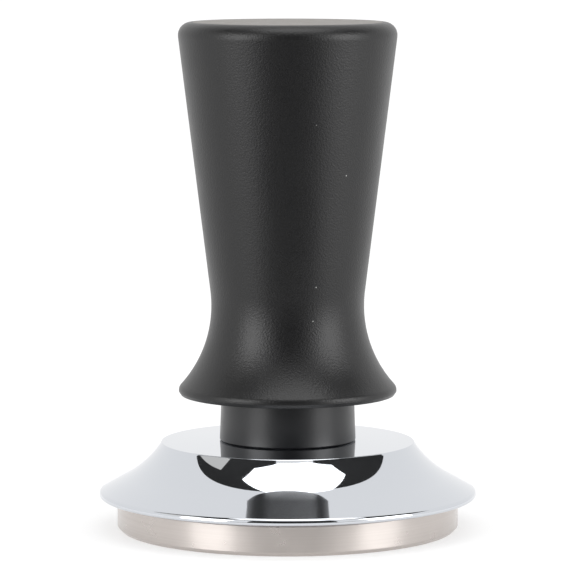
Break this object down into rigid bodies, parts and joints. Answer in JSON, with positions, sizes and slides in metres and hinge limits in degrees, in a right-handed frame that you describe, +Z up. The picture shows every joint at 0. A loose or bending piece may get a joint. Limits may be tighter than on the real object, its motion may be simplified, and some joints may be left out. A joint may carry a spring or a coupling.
{
  "type": "espresso tamper",
  "caption": "Hand tamper with a tapered spring-loaded handle, a self-levelling collar on a sprung neck sleeve and a flat round base.",
  "frame": {"origin": "centre of the tamping face, on the surface that the tamper stands on", "axes": "+Z up the tamper's axis, towards the top of the handle; X and Y are equivalent"},
  "size_m": [0.0642, 0.0642, 0.086],
  "materials": {
    "black_anodised": "bead-blasted, matte black anodised",
    "brushed_badge": "brushed, slightly mottled",
    "adhesive_film": "acrylic adhesive film",
    "black_acetal": "turned acetal, satin black",
    "chrome_plate": "polished chrome plating",
    "turned_stainless": "fine turned satin stainless steel",
    "ground_steel": "ground stainless steel",
    "hardened_steel": "hardened, black oxide",
    "spring_steel": "drawn spring wire",
    "zinc_steel": "zinc plated",
    "gland_brass": "turned brass",
    "ivory_polymer": "machined bearing polymer",
    "black_rubber": "moulded nitrile rubber"
  },
  "bodies": {
    "base": {"base_plate": "turned_stainless", "base_bumper_ring": "black_rubber", "post_lock_washer": "spring_steel", "guide_post": "ground_steel", "spring_retainer": "zinc_steel", "retaining_ring": "spring_steel", "plunger_rod": "ground_steel", "lower_spring_seat": "hardened_steel", "main_spring": "spring_steel", "collar_spring": "spring_steel"},
    "spring_cap": {"upper_spring_seat": "hardened_steel"},
    "handle": {"handle_body": "black_anodised", "top_badge": "brushed_badge", "badge_adhesive": "adhesive_film", "gland_nut": "gland_brass", "rod_guide_bush": "ivory_polymer", "return_buffer": "black_rubber", "preload_shims": "zinc_steel"},
    "collar_seat": {"collar_spring_seat": "zinc_steel"},
    "collar": {"levelling_collar": "chrome_plate", "neck_sleeve": "black_acetal", "collar_guide_bush": "ivory_polymer"}
  },
  "joints": [
    {"name": "handle_press", "type": "slide", "parent": "base", "child": "spring_cap", "axis": [0, 0, -1], "range_m": [0, 0.0025], "stiffness_N_per_m": 26700, "springref_m": -0.0025, "deforming": ["main_spring"]},
    {"name": "handle_turn", "type": "hinge", "parent": "spring_cap", "child": "handle", "pos_m": [0, 0, 0.05], "axis": [0, 0, 1], "continuous": true},
    {"name": "collar_lift", "type": "slide", "parent": "base", "child": "collar_seat", "axis": [0, 0, 1], "range_m": [0, 0.005], "stiffness_N_per_m": 400, "springref_m": -0.0037, "deforming": ["collar_spring"]},
    {"name": "collar_turn", "type": "hinge", "parent": "collar_seat", "child": "collar", "pos_m": [0, 0, 0.012], "axis": [0, 0, 1], "continuous": true}
  ]
}
